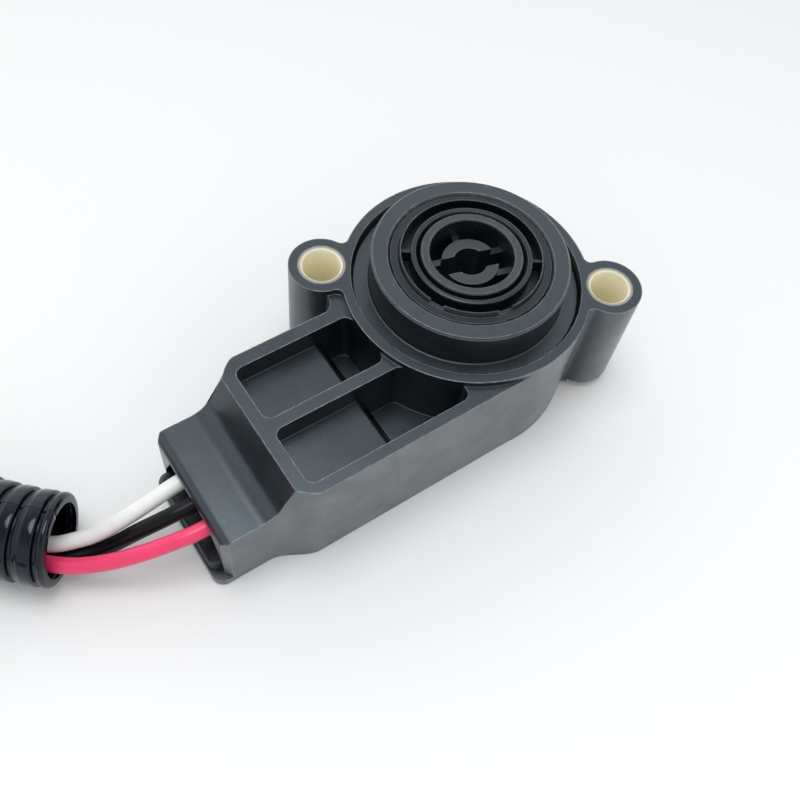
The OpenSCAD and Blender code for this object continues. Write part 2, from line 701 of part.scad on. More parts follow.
module bearing_ring() color(black_plastic) {
    outer_r = collar_bore_r - fit_gap;
    step = 0.35;
    difference() {
        rotate_extrude() polygon([[hub_r + run_gap, ring_bottom_z], [ring_bore_r - fit_gap, ring_bottom_z],
            [ring_bore_r - fit_gap, ring_seat_z], [outer_r, ring_seat_z], [outer_r, ring_top_z - step],
            [outer_r - 0.15, ring_top_z], [groove_outer_r + 0.6, ring_top_z],
            [groove_outer_r + 0.25, lip_z - 0.1], [groove_outer_r + 0.1, lip_z],
            [groove_outer_r, lip_z - 0.1], [groove_outer_r, groove_z],
            [groove_inner_r, groove_z], [groove_inner_r, lip_z - step],
            [groove_inner_r - 0.1, lip_z - 0.1], [groove_inner_r - step, lip_z],
            [mouth_r + 0.25, lip_z - 0.05], [mouth_r, lip_z - step], [mouth_r, lip_z - 1.6],
            [hub_r + run_gap, lip_z - 1.9]]);
        for (a = notch_angles)
            arc_block(groove_outer_r + notch_w, groove_outer_r - notch_w, lip_z - notch_depth, lip_z + 1,
                a - notch_half, a + notch_half);
    }
    for (a = [ear_angle, ear_angle + 180])
        rotate([0, 0, a]) translate([groove_inner_r - 0.2, -groove_rib_t / 2, groove_z - eps])
            cube([groove_outer_r - groove_inner_r + 0.4, groove_rib_t, collar_top_z - groove_z + eps]);
}

// The two arc jaws, cut apart by the slot
module jaws() {
    difference() {
        ring(jaw_r, jaw_bore_r, web_top_z - root, jaw_top_z);
        translate([-jaw_r - 1, -jaw_slot_w / 2, web_top_z - 2 * root])
            cube([2 * jaw_r + 2, jaw_slot_w, jaw_top_z]);
    }
}

module jaw_ribs() {
    rib_h = jaw_rib_top_z - web_top_z + root;
    side_x = jaw_r - 1.4;
    side_l = socket_r + root / 2 - side_x;
    back_l = socket_r + root / 2 - jaw_r + 0.3;
    translate([0, 0, web_top_z - root]) {
        for (s = [0, 1], t = [0, 1])
            mirror([s, 0, 0]) mirror([0, t, 0]) translate([side_x, jaw_slot_w / 2, 0])
                cube([side_l, jaw_rib_t, rib_h]);
        for (t = [0, 1])
            mirror([0, t, 0]) translate([-jaw_rib_t / 2, jaw_r - 0.3, 0])
                cube([jaw_rib_t, back_l, rib_h]);
    }
}

module rotor() color(black_plastic) {
    edge = 0.2;
    cup_r = keeper_r + fit_gap;
    magnet_top_z = journal_bottom_z + magnet_t + keeper_t + fit_gap;
    rotate_extrude() polygon([[cup_r, journal_bottom_z], [journal_r, journal_bottom_z],
        [journal_r, rotor_flange_z], [rotor_flange_r, rotor_flange_z],
        [rotor_flange_r, rotor_flange_top_z], [hub_r, rotor_flange_top_z], [hub_r, hub_top_z - edge],
        [hub_r - edge, hub_top_z], [socket_r + edge, hub_top_z], [socket_r, hub_top_z - edge],
        [socket_r, web_top_z], [0, web_top_z],
        [0, magnet_top_z], [cup_r, magnet_top_z]]);
    rotate([0, 0, jaw_slot_angle]) {
        jaws();
        jaw_ribs();
    }
    stop_lug();
}

// Lug below the flange that meets the housing's stops and takes the spring's upper leg
module stop_lug() {
    arc_block(lug_r, lug_inner_r, lug_z, lug_z + lug_h, lug_angle - lug_half, lug_angle + lug_half);
    arc_block(rotor_flange_r - root / 2, lug_inner_r, lug_z, rotor_flange_z + root,
        lug_angle - lug_half, lug_angle + lug_half);
}

module magnet() color([0.35, 0.35, 0.38]) {
    translate([0, 0, journal_bottom_z]) cylinder(r = magnet_r, h = magnet_t);
}

module magnet_keeper() color([0.6, 0.6, 0.62]) {
    difference() {
        translate([0, 0, journal_bottom_z]) cylinder(r = keeper_r, h = magnet_t + keeper_t);
        translate([0, 0, journal_bottom_z - 1]) cylinder(r = keeper_bore_r, h = magnet_t + 1);
    }
}

// Turns of the return spring, with a radial leg at each end
function spring_leg(a, z, radii) = [for (r = radii) [r * cos(a), r * sin(a), z]];
function spring_coil() =
    let (steps = round(24 * spring_turns) - 2, turn = 360 * spring_turns - 2 * spring_lead)
    [for (i = [0:steps]) let (a = spring_foot_angle + spring_lead + turn * i / steps)
        [spring_r * cos(a), spring_r * sin(a), mix(spring_low_z, spring_high_z, i / steps)]];
function spring_route() = concat(
    spring_leg(spring_foot_angle, spring_low_z, [spring_leg_r, spring_bend_r]),
    spring_coil(),
    spring_leg(spring_top_angle, spring_high_z, [spring_bend_r, spring_leg_r]));

module return_spring() color([0.7, 0.7, 0.72]) {
    tube(spring_route(), spring_d / 2, 8);
}

module circuit_board() color([0.1, 0.35, 0.2]) {
    difference() {
        translate([0, 0, board_z]) linear_extrude(board_t) {
            circle(board_r);
            translate([inner_left_x + board_gap, board_end_y])
                square([inner_right_x - inner_left_x - 2 * board_gap, -board_end_y]);
        }
        for (p = board_posts)
            translate([p[0], p[1], 0]) cylinder(r = stake_r + fit_gap, h = housing_h);
        for (x = wire_xs)
            translate([x - terminal_w / 2 - fit_gap, terminal_y - fit_gap, 0])
                cube([terminal_w + 2 * fit_gap, terminal_w + 2 * fit_gap, housing_h]);
    }
}

module hall_sensor() color([0.12, 0.12, 0.12]) {
    translate([-chip[0] / 2, -chip[1] / 2, board_top_z]) cube(chip);
}

module board_components() color([0.6, 0.5, 0.35]) {
    for (p = component_spots)
        translate([p[0], p[1], board_z] - [component[0] / 2, component[1] / 2, component[2]]) cube(component);
}

// Crimp on each wire's end, bent down through the board
module terminals() color([0.8, 0.75, 0.6]) {
    for (x = wire_xs) {
        translate([x, wire_start_y, wire_z]) rotate([-90, 0, 0])
            cylinder(r = wire_r * 0.8, h = terminal_y + terminal_w - wire_start_y);
        translate([x - terminal_w / 2, terminal_y, board_z - 0.5])
            cube([terminal_w, terminal_w, wire_z - board_z + 0.5]);
    }
}

module rear_cover() color([0.2, 0.2, 0.22]) {
    linear_extrude(rear_cover_t) intersection() {
        electronics_outline(fit_gap);
        union() {
            circle(inner_r + rear_ledge - fit_gap);
            translate([inner_left_x - rear_ledge + fit_gap, -arm_reach])
                square([inner_right_x - inner_left_x + 2 * (rear_ledge - fit_gap), arm_reach]);
        }
    }
}

module wire_seal() color([0.25, 0.25, 0.27]) {
    difference() {
        translate([0, shroud_back_y, 0]) rotate([90, 0, 0]) linear_extrude(seal_l) hollow_outline(fit_gap);
        wire_holes(wire_hole_r, shroud_end_y, inner_end_y);
    }
}

// Block in the mouth with round front corners and a rounded upper front edge
module wire_retainer() color([0.22, 0.23, 0.25]) {
    front_y = sill_end_y + retainer_setback;
    x0 = shroud_in_left_x + retainer_gap;
    x1 = shroud_in_right_x - retainer_gap;
    top_z = shroud_wall + retainer_h;
    corner_r = sill_corner_r - retainer_setback;
    front_round = [for (i = [0:6]) let (a = 90 + 15 * i)
        [front_y + retainer_round_r + retainer_round_r * cos(a),
            top_z - retainer_round_r + retainer_round_r * sin(a)]];
    intersection() {
        linear_extrude(housing_h) {
            translate([x0, front_y + corner_r]) square([x1 - x0, retainer_l - corner_r]);
            translate([x0 + corner_r, front_y]) square([x1 - x0 - 2 * corner_r, retainer_l]);
            for (x = [x0 + corner_r, x1 - corner_r])
                translate([x, front_y + corner_r]) circle(corner_r);
        }
        translate([x0 - 1, 0, 0]) rotate([90, 0, 90]) linear_extrude(x1 - x0 + 2) polygon(concat(
            [[front_y + 2 * retainer_l, shroud_wall], [front_y + 2 * retainer_l, top_z]], front_round,
            [[front_y, shroud_wall]]));
    }
}

module wire_white() color([0.95, 0.95, 0.95]) tube(white_route, wire_r, 8);
module wire_black() color([0.08, 0.08, 0.09]) tube(black_route, wire_r, 8);
module wire_red() color([0.91, 0.27, 0.43]) tube(red_route, wire_r, 8);
module conduit() color([0.06, 0.06, 0.07])
    hollow_tube(conduit_route, conduit_d / 2, conduit_d / 2 - conduit_wall, 12);

// A rounded block along X, centred on the plug's axis
module plug_block(x0, x1, inset, r) {
    translate([x0, plug_y, plug_z]) rotate([90, 0, 90]) linear_extrude(x1 - x0)
        rounded_rect(inset - plug_w / 2, inset - plug_h / 2, plug_w / 2 - inset, plug_h / 2 - inset, r);
}

module plug_holes(r, x0, x1) {
    for (s = [-1, 0, 1])
        translate([x0, plug_y + s * plug_pitch, plug_z]) rotate([0, 90, 0])
            cylinder(r = r, h = x1 - x0);
}

module plug_shell() color([0.12, 0.12, 0.13]) {
    difference() {
        union() {
            plug_block(plug_x, plug_front_x, 0, plug_corner_r);
            translate([plug_front_x - plug_catch_back, plug_y - plug_catch[1] / 2, plug_z])
                cube(plug_catch + [0, 0, plug_h / 2]);
        }
        plug_block(plug_x - 1, plug_web_x, plug_wall, plug_corner_r - 1);
        plug_block(plug_socket_x, plug_front_x + 1, plug_wall, plug_corner_r - 1);
        plug_holes(crimp_r + fit_gap, plug_x, plug_front_x);
        plug_holes(wire_hole_r, plug_x, wire_end_x);
    }
}

module plug_lock() color([0.85, 0.5, 0.15]) {
    difference() {
        plug_block(plug_socket_x, plug_socket_x + plug_lock_l, plug_wall + fit_gap, plug_corner_r - 1);
        plug_holes(plug_pin_r + fit_gap, plug_x, plug_front_x);
    }
}

module plug_seal() color([0.75, 0.35, 0.2]) {
    difference() {
        plug_block(plug_x + 1, plug_web_x, plug_wall + fit_gap, plug_corner_r - 1);
        plug_holes(wire_hole_r, plug_x, plug_front_x);
    }
}

module plug_terminals() color([0.8, 0.75, 0.6]) {
    plug_holes(crimp_r, wire_end_x, plug_socket_x);
    plug_holes(plug_pin_r, plug_socket_x - eps, plug_socket_x + plug_pin_l);
}

housing();
bushing_left();
bushing_right();
front_cover();
cover_seal();
bearing_ring();
rotor();
magnet();
magnet_keeper();
return_spring();
circuit_board();
hall_sensor();
board_components();
terminals();
rear_cover();
wire_seal();
wire_retainer();
wire_white();
wire_black();
wire_red();
conduit();
plug_shell();
plug_lock();
plug_seal();
plug_terminals();
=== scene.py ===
"""Looks of the rotary position sensor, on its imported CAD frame: finishes, wires, ribbed conduit and
the finer front of the housing's arm, with the photo's camera, floor and light."""

import math

import bmesh
import bpy
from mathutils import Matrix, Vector


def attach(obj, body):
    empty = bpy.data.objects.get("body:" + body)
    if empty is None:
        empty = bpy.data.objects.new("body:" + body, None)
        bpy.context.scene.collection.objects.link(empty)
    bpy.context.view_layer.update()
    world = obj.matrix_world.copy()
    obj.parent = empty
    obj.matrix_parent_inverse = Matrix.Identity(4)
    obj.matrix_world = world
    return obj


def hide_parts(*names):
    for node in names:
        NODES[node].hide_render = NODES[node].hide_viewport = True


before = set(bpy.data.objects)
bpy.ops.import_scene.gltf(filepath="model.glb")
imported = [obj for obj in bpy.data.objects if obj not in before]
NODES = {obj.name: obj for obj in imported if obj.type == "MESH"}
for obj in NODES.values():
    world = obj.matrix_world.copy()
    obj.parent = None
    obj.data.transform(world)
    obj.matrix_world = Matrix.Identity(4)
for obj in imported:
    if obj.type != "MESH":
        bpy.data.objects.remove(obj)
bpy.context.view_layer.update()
BODY = "sensor"
MM = 0.001

# Camera, fitted to the photo in the part's own frame, in millimetres and degrees
CAMERA_PLACE = (67.981, -71.505, 144.592)
CAMERA_TURN = (30.5554, -4.9275, 56.1765)
CAMERA_LENS = 42.128
SENSOR_WIDTH = 36.0
NEAREST_SEEN = 5.0

# Wires and conduit, in millimetres, on the same routes as their CAD solids
WIRE_D = 2.6
WIRE_STEPS = 5
WIRE_ROUNDNESS = 6
WHITE_ROUTE = [
    (3.3, -39.2, 11), (3.3, -48, 11), (3.3, -55.6, 11), (3.5, -60.4, 10.1), (3.3, -65, 8.7),
    (2.5, -69.5, 6.8), (1.5, -72.8, 6.1), (0.3, -75.8, 5.9), (-2.1, -78.5, 5.8), (-6.1, -81.5, 5.8),
    (-14.3, -87.6, 5.8), (-23.3, -98.6, 5.8), (-30.4, -113.6, 5.8), (-33.1, -131, 5.8),
    (-29.8, -148.9, 5.8), (-21.2, -165.3, 5.8), (-8, -179.6, 5.8), (8.8, -190.7, 5.8),
    (26.8, -197.1, 5.4), (41, -198.4, 5.5), (48, -199, 6.8), (55, -199.4, 8), (66, -199.4, 8)]
BLACK_ROUTE = [
    (7.7, -39.2, 11), (7.7, -48, 11), (7.7, -56, 11), (7.2, -60.4, 10.2), (6, -64.6, 8),
    (4.8, -68, 5.5), (3.7, -71.4, 4.1), (2, -76, 3.6), (-0.9, -79.4, 3.6), (-5.1, -82.5, 3.6),
    (-13.2, -88.6, 3.6), (-22, -99.4, 3.6), (-29, -114, 3.6), (-31.6, -131, 3.6),
    (-28.4, -148.4, 3.6), (-20, -164.4, 3.6), (-7, -178.4, 3.6), (9.6, -189, 3.6),
    (27.2, -194.4, 4), (41, -195, 5), (48, -195, 6.8), (55, -195, 8), (66, -195, 8)]
RED_ROUTE = [
    (12.1, -39.2, 11), (12.1, -48, 11), (12.1, -56.5, 11), (11.3, -61, 10.3), (9.9, -65.2, 8.8),
    (8.2, -69, 7.2), (6.4, -72.5, 6.2), (4.1, -76.1, 5.8), (0.1, -80.5, 5.8), (-4.1, -83.7, 5.8),
    (-12.1, -89.6, 5.8), (-20.7, -100.2, 5.8), (-27.6, -114.4, 5.8), (-30.1, -131, 5.8),
    (-27, -147.9, 5.8), (-18.8, -163.5, 5.8), (-6, -177.2, 5.8), (10.4, -187.3, 5.8),
    (27.6, -191.7, 5.4), (41, -191.6, 5.5), (48, -191, 6.8), (55, -190.6, 8), (66, -190.6, 8)]
CONDUIT_D = 14.8
CONDUIT_Z = 7.4
CONDUIT_PLAN = [
    (1.1, -74.5), (-2.2, -78.2), (-5.8, -81.7), (-13.4, -88.4), (-22, -99.4), (-29, -114),
    (-31.6, -131), (-28.4, -148.4), (-20, -164.4), (-7, -178.4), (9.6, -189), (27.2, -194.4),
    (44, -195)]
CONDUIT_ROUTE = [(x, y, CONDUIT_Z) for x, y in CONDUIT_PLAN]
CONDUIT_STEPS = 24

# Corrugation: distance from the middle of a groove, and how far the wall lies below a crest there
GROOVE_DEPTH = 0.75
FIRST_GROOVE = 1.59
RIB_PITCH = 3.48
RIB_PROFILE = [
    (0.0, 0.75), (0.22, 0.74), (0.3, 0.6), (0.36, 0.22), (0.46, 0.06), (0.66, 0.0), (1.3, 0.0),
    (2.05, 0.0), (2.28, 0.02), (2.38, 0.12), (2.75, 0.16), (3.02, 0.2), (3.12, 0.34), (3.2, 0.62),
    (3.28, 0.74)]
MOUTH_PROFILE = [(0.0, 0.72), (0.06, 0.45), (0.2, 0.2), (0.45, 0.04), (0.75, 0.0), (1.05, 0.06),
                 (1.16, 0.2), (1.26, 0.55), (1.36, 0.73)]
MOUTH_LIP = 0.2
CONDUIT_WALL = 0.78
CONDUIT_SIDES = 60
CONDUIT_SMOOTH_ANGLE = 50

# The conduit's slit, in degrees round from its top, with notches of uneven width in the grooves
SLIT_ANGLE = 14.0
SLIT_HALF_ANGLE = 0.3
NOTCH_HALF_ANGLE = 2.4
NOTCH_UNEVENNESS = 0.3
NOTCH_WAVES = 2.3

# The arm's front in the CAD housing, in millimetres; the neck is where its sides draw in
ARM_SIDES = (-6.1, 20.7)
SHROUD_SIDES = (-4.1, 17.8)
ARM_TOP = 22.2
SHROUD_TOP = 14.6
MOUTH_ROUND = 1.6
NECK_START = 40.4
NECK_LENGTH = 7.8
RAMP_START = 43.6
RAMP_LENGTH = 3.6
RAMP_STRIPS = 12
POCKET_ENDS = (39.55, 41.15)
POCKET_SIDES = (-3.85, 18.85)
POCKET_FLOOR = 18.2

# What the photo shows there: corners cut back at the top, a steep ramp that runs out in a wide
# hollow, a slightly higher shroud, and pockets that reach a little further
CORNER_CUTS = (2.6, -2.2)
CORNER_CUT_LENGTH = 3.2
CORNER_CUT_POWER = 1.5
CORNER_RUNOUT_POWER = 3
RAMP_ANGLE = math.radians(67)
RAMP_HOLLOW = 4.0
HOLLOW_SETTLED = 52.0
SHROUD_RISE = 0.3
RISE_START = 0.2
POCKET_SHIFT = 0.4
SAME_PLACE = 0.05
SAME_HEIGHT = 0.01
WELD_DISTANCE = 0.001
HOUSING_SMOOTH_ANGLE = 30

# Masks, each from where it starts to where it is full. What is open is judged within the reach,
# in millimetres.
EDGE_TURN = (0.985, 0.86)
OPEN_REACH = 16
OPEN = (0.55, 0.9)
WIDE_OPEN = (0.75, 1.0)
UPRIGHT = (0.3, 0.12)
LEVEL = (0.6, 0.9)
BEVEL_SAMPLES = 6
OPEN_SAMPLES = 8

# The Mix node has an A, a B and a result for each kind of data, told apart by number
MIX_NUMBERS = (2, 3, 0)
MIX_COLORS = (6, 7, 2)

# Marks on the finishes: scales in cycles a metre, the noise levels where a mark starts and is
# full, and how much of it stays between the marks
# The painted sheen: upright outer faces made paler in blotches, standing in for the floor's light they
# reflect
PAINTED_SHEEN_SCALE = 120.0
PAINTED_SHEEN = (0.3, 0.7)
PAINTED_SHEEN_LEFT = 0.45
PAINTED_SHEEN_TINT = (1.0, 1.04, 1.05)
# Paler edges: partly real abrasion, partly a painted highlight
SCUFF_SCALE = 900.0
SCUFF = (0.35, 0.65)
SCUFF_LEFT = 0.35
WEAR_AND_HIGHLIGHT_TINT = (1.0, 1.03, 1.05)
SPECK_SCALE = 3800.0
SPECK = (0.7, 0.78)
PATCH_SCALE = 160.0
PATCH = (0.4, 0.65)
PATCH_LEFT = 0.2
CLOUD_COLOR = (0.3, 0.7)
CLOUD_GLOSS = (0.25, 0.75)
GLOSS_SPREAD = 0.14
RELIEF_STRENGTH = 0.6
PLAIN_WHITE = (1.0, 1.0, 1.0)
COOL = (0.75, 0.9, 1.0)
DEEP_BLACK = (0.003, 0.004, 0.006)

# Floor, in metres and as plain colours
FLOOR_SIZE = 4.0
FLOOR_DROP = 0.00005
FLOOR_NEAR = (0.82, 0.825, 0.83)
# Painted shade: the floor's colour darkens towards the far side, where it gets more light
FLOOR_FAR_PAINTED_SHADE = (0.635, 0.635, 0.64)
FLOOR_SHADE_FADE = (-0.1, 0.25)
FLOOR_CLOUD = (0.6, 0.61, 0.63)
FLOOR_CLOUD_SCALE = 9.0
FLOOR_CLOUD_BAND = (0.35, 0.65)
FLOOR_CLOUD_SHARE = 0.03
FLOOR_ROUGHNESS = 0.7
FLOOR_SPECULAR = 0.2

# Room: bright round the horizon, dimmer overhead round the lamp and behind the camera
FAR_SIDE = (-0.77, 0.64, 0.0)
HORIZON = 1.4
CEILING = 0.5
CEILING_BAND = (0.6, 0.95)
BEHIND_CAMERA = 0.65
BEHIND_BAND = (-0.5, 0.4)
BACKDROP = 0.9
AIR_TINT = (0.97, 0.99, 1.0)
LAMP_TARGET = (0.0, -0.02, 0.01)


def add_camera():
    data = bpy.data.cameras.new("camera")
    data.lens = CAMERA_LENS
    data.sensor_width = SENSOR_WIDTH
    data.clip_start = NEAREST_SEEN * MM
    camera = bpy.data.objects.new("camera", data)
    camera.location = Vector(CAMERA_PLACE) * MM
    camera.rotation_euler = [math.radians(a) for a in CAMERA_TURN]
    bpy.context.scene.collection.objects.link(camera)
    bpy.context.scene.camera = camera


def smooth_line(route, steps):
    """Points in metres on a smooth curve through every point of the route."""
    p = [Vector(q) * MM for q in route]
    ends = [2 * p[0] - p[1]] + p + [2 * p[-1] - p[-2]]
    line = []
    for i in range(1, len(ends) - 2):
        a, b, c, d = ends[i - 1:i + 3]
        for k in range(steps):
            t = k / steps
            line.append(0.5 * (2 * b + (c - a) * t + (2 * a - 5 * b + 4 * c - d) * t ** 2
                               + (3 * b - a - 3 * c + d) * t ** 3))
    return line + [p[-1]]


def length_of(line):
    return sum((b - a).length for a, b in zip(line, line[1:]))


def at_distance(line, wanted):
    """Point and heading on a line at each of the wanted distances from its start."""
    found = []
    walked = 0.0
    i = 0
    for goal in wanted:
        while i < len(line) - 2 and walked + (line[i + 1] - line[i]).length < goal:
            walked += (line[i + 1] - line[i]).length
            i += 1
        step = line[i + 1] - line[i]
        found.append((line[i] + step.normalized() * (goal - walked), step.normalized()))
    return found


def link_mesh(name, bm):
    bmesh.ops.recalc_face_normals(bm, faces=bm.faces)
    mesh = bpy.data.meshes.new(name)
    bm.to_mesh(mesh)
    bm.free()
    piece = bpy.data.objects.new(name, mesh)
    bpy.context.scene.collection.objects.link(piece)
    return piece


def smooth_by_angle(piece, degrees):
    for polygon in piece.data.polygons:
        polygon.use_smooth = True
    piece.data.set_sharp_from_angle(angle=math.radians(degrees))


def add_wire(name, route, node, material):
    """A round wire along its route that ends in the connector, shown in place of its CAD solid."""
    line = smooth_line(route, WIRE_STEPS)
    curve = bpy.data.curves.new(name, "CURVE")
    curve.dimensions = "3D"
    curve.bevel_depth = WIRE_D / 2 * MM
    curve.bevel_resolution = WIRE_ROUNDNESS
    curve.use_fill_caps = True
    spline = curve.splines.new("POLY")
    spline.points.add(len(line) - 1)
    for point, place in zip(spline.points, line):
        point.co = (*place, 1.0)
    spline.use_smooth = True
    wire = bpy.data.objects.new(name, curve)
    bpy.context.scene.collection.objects.link(wire)
    wire.data.materials.append(material)
    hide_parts(node)
    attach(wire, BODY)


def corrugation(total):
    """Distance from the mouth and depth below a crest, all along the conduit, in millimetres."""
    stations = list(MOUTH_PROFILE)
    groove = FIRST_GROOVE
    while groove + RIB_PITCH < total:
        stations += [(groove + s, depth) for s, depth in RIB_PROFILE]
        groove += RIB_PITCH
    return stations + [(groove, GROOVE_DEPTH), (total, GROOVE_DEPTH)]


def conduit_ring(bm, place, heading, outer, inner, gap):
    """One C-shaped ring of the split tube: round the outer wall, then back along the inner one."""
    side = heading.cross(Vector((0, 0, 1))).normalized()
    up = side.cross(heading)
    start = math.radians(SLIT_ANGLE + gap)
    turn = math.radians(360 - 2 * gap)
    angles = [start + turn * k / CONDUIT_SIDES for k in range(CONDUIT_SIDES + 1)]
    walls = [(outer, a) for a in angles] + [(inner, a) for a in reversed(angles)]
    return [bm.verts.new(place + r * MM * (math.sin(a) * side + math.cos(a) * up)) for r, a in walls]


def slit_gap(s, depth):
    """Half the slit's width in degrees, s along the conduit: a notch wherever the wall dips."""
    ragged = 1 - NOTCH_UNEVENNESS + NOTCH_UNEVENNESS * math.sin(NOTCH_WAVES * s)
    return SLIT_HALF_ANGLE + NOTCH_HALF_ANGLE * ragged * (depth / GROOVE_DEPTH) ** 2


def conduit_rings(bm, line, total):
    """Rings of the split tube all along the line. Its wall follows the corrugation behind the lip."""
    profile = corrugation(total / MM)
    places = at_distance(line, [s * MM for s, depth in profile])
    crest = CONDUIT_D / 2
    valley_bore = crest - GROOVE_DEPTH - CONDUIT_WALL
    rings = []
    for (s, depth), (place, heading) in zip(profile, places):
        bore = valley_bore if s < MOUTH_LIP else crest - depth - CONDUIT_WALL
        rings.append(conduit_ring(bm, place, heading, crest - depth, max(bore, valley_bore),
                                  slit_gap(s, depth)))
    return rings


def skin_rings(bm, rings):
    """Walls between the rings, and the two end faces of the split tube."""
    size = len(rings[0])
    for a, b in zip(rings, rings[1:]):
        for k in range(size):
            m = (k + 1) % size
            bm.faces.new((a[k], a[m], b[m], b[k]))
    for ring in (rings[0], rings[-1]):
        for k in range(CONDUIT_SIDES):
            bm.faces.new((ring[k], ring[k + 1], ring[size - 2 - k], ring[size - 1 - k]))


def add_conduit(material):
    line = smooth_line(CONDUIT_ROUTE, CONDUIT_STEPS)
    total = length_of(line)
    bm = bmesh.new()
    skin_rings(bm, conduit_rings(bm, line, total))
    conduit = link_mesh("corrugated_conduit", bm)
    smooth_by_angle(conduit, CONDUIT_SMOOTH_ANGLE)
    conduit.data.materials.append(material)
    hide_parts("conduit")
    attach(conduit, BODY)


def mix(a, b, t):
    return a + (b - a) * t


def eased(t):
    """0 to 1 with a level start and a level end."""
    return t * t * (3 - 2 * t)


def neck_distance(along):
    return min(along - NECK_START, NECK_LENGTH)


def neck_low(k, d):
    """Sideways place of the neck's left (k = 0) or right (k = 1) side at its base, d along it."""
    return mix(ARM_SIDES[k], SHROUD_SIDES[k], eased(d / NECK_LENGTH))


def neck_high(k, d):
    """The same at the level of the arm's top."""
    corner = ARM_SIDES[k] + CORNER_CUTS[k]
    if d < CORNER_CUT_LENGTH:
        return mix(ARM_SIDES[k], corner, (d / CORNER_CUT_LENGTH) ** CORNER_CUT_POWER)
    t = (d - CORNER_CUT_LENGTH) / (NECK_LENGTH - CORNER_CUT_LENGTH)
    return mix(SHROUD_SIDES[k], corner, (1 - min(t, 1.0)) ** CORNER_RUNOUT_POWER)


def ramp_line(i):
    """Distance along the arm and height of the finer ramp's line i, from its top to its foot."""
    if i == 0:
        return RAMP_START, ARM_TOP
    foot_z = SHROUD_TOP + RAMP_HOLLOW * (1 - math.cos(RAMP_ANGLE))
    foot = RAMP_START + (ARM_TOP - foot_z) / math.tan(RAMP_ANGLE)
    a = RAMP_ANGLE * (RAMP_STRIPS - i) / (RAMP_STRIPS - 1)
    return (foot + RAMP_HOLLOW * (math.sin(RAMP_ANGLE) - math.sin(a)),
            SHROUD_TOP + RAMP_HOLLOW * (1 - math.cos(a)))


def finer_top(along, z):
    """Where a point of the arm's or shroud's top goes, by its distance along the arm."""
    ramp_end = RAMP_START + RAMP_LENGTH
    if along <= RAMP_START or along >= HOLLOW_SETTLED:
        return along, z
    if along < ramp_end:
        strip = (along - RAMP_START) / RAMP_LENGTH * RAMP_STRIPS
        i = min(int(strip), RAMP_STRIPS - 1)
        (a, upper), (b, lower) = ramp_line(i), ramp_line(i + 1)
        return mix(a, b, strip - i), mix(upper, lower, strip - i)
    spread = (HOLLOW_SETTLED - along) / (HOLLOW_SETTLED - ramp_end)
    return mix(HOLLOW_SETTLED, ramp_line(RAMP_STRIPS)[0], spread), z


def risen(z):
    """Height with the shroud's rise, which fades out below its top's edges and up the ramp."""
    rise = SHROUD_RISE * min((z - SHROUD_TOP + MOUTH_ROUND) / MOUTH_ROUND, 1.0)
    if z > SHROUD_TOP:
        rise *= (ARM_TOP - z) / (ARM_TOP - SHROUD_TOP)
    return z + rise


def on_pocket_end(x, along, z):
    """Whether a point lies on the front end of one of the arm's two pockets."""
    return (POCKET_ENDS[0] < along < POCKET_ENDS[1] and POCKET_SIDES[0] < x < POCKET_SIDES[1]
            and z > POCKET_FLOOR - SAME_PLACE)


def finer_point(x, y, z):
    """Where a point of the CAD housing goes on the finer one, in millimetres."""
    along = -y
    if on_pocket_end(x, along, z):
        return x, y - POCKET_SHIFT, z
    if along < NECK_START or z < SHROUD_TOP - MOUTH_ROUND + RISE_START:
        return x, y, z
    sides = [k for k in (0, 1) if abs(x - neck_low(k, neck_distance(along))) < SAME_PLACE]
    if z > SHROUD_TOP - SAME_HEIGHT:
        along, z = finer_top(along, z)
    for k in sides:
        d = neck_distance(along)
        x = mix(neck_low(k, d), neck_high(k, d), z / ARM_TOP)
    return x, -along, risen(z)


def add_housing(material):
    """The housing with its finer arm front, in place of the CAD one."""
    bm = bmesh.new()
    bm.from_mesh(NODES["housing"].data)
    bmesh.ops.remove_doubles(bm, verts=bm.verts, dist=WELD_DISTANCE * MM)
    for vert in bm.verts:
        vert.co = Vector(finer_point(*(vert.co / MM))) * MM
    housing = link_mesh("moulded_housing", bm)
    # The normals stored with the CAD mesh don't fit the points that have moved
    stored = housing.data.attributes.get("custom_normal")
    if stored:
        housing.data.attributes.remove(stored)
    smooth_by_angle(housing, HOUSING_SMOOTH_ANGLE)
    housing.data.materials.append(material)
    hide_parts("housing")
    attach(housing, BODY)


def new_material(name):
    material = bpy.data.materials.new(name)
    material.use_nodes = True
    tree = material.node_tree
    return material, tree, tree.nodes["Principled BSDF"]


def noise(tree, scale, detail=3.0, distortion=0.0):
    """Noise in the object's own space; its scale is in cycles a metre."""
    place = tree.nodes.new("ShaderNodeTexCoord")
    node = tree.nodes.new("ShaderNodeTexNoise")
    node.inputs["Scale"].default_value = scale
    node.inputs["Detail"].default_value = detail
    node.inputs["Distortion"].default_value = distortion
    tree.links.new(place.outputs["Object"], node.inputs["Vector"])
    return node.outputs["Fac"]


def levels(tree, source, low, high, out_low, out_high):
    """Maps low..high of the source to out_low..out_high, clamped."""
    node = tree.nodes.new("ShaderNodeMapRange")
    for socket, value in zip(("From Min", "From Max", "To Min", "To Max"),
                             (low, high, out_low, out_high)):
        node.inputs[socket].default_value = value
    tree.links.new(source, node.inputs["Value"])
    return node.outputs["Result"]


def times(tree, a, b):
    node = tree.nodes.new("ShaderNodeMath")
    node.operation = "MULTIPLY"
    tree.links.new(a, node.inputs[0])
    tree.links.new(b, node.inputs[1])
    return node.outputs["Value"]


def dot_with(tree, source, other):
    """Dot product with another vector, which is a plain vector or a socket."""
    node = tree.nodes.new("ShaderNodeVectorMath")
    node.operation = "DOT_PRODUCT"
    tree.links.new(source, node.inputs[0])
    if isinstance(other, tuple):
        node.inputs[1].default_value = other
    else:
        tree.links.new(other, node.inputs[1])
    return node.outputs["Value"]


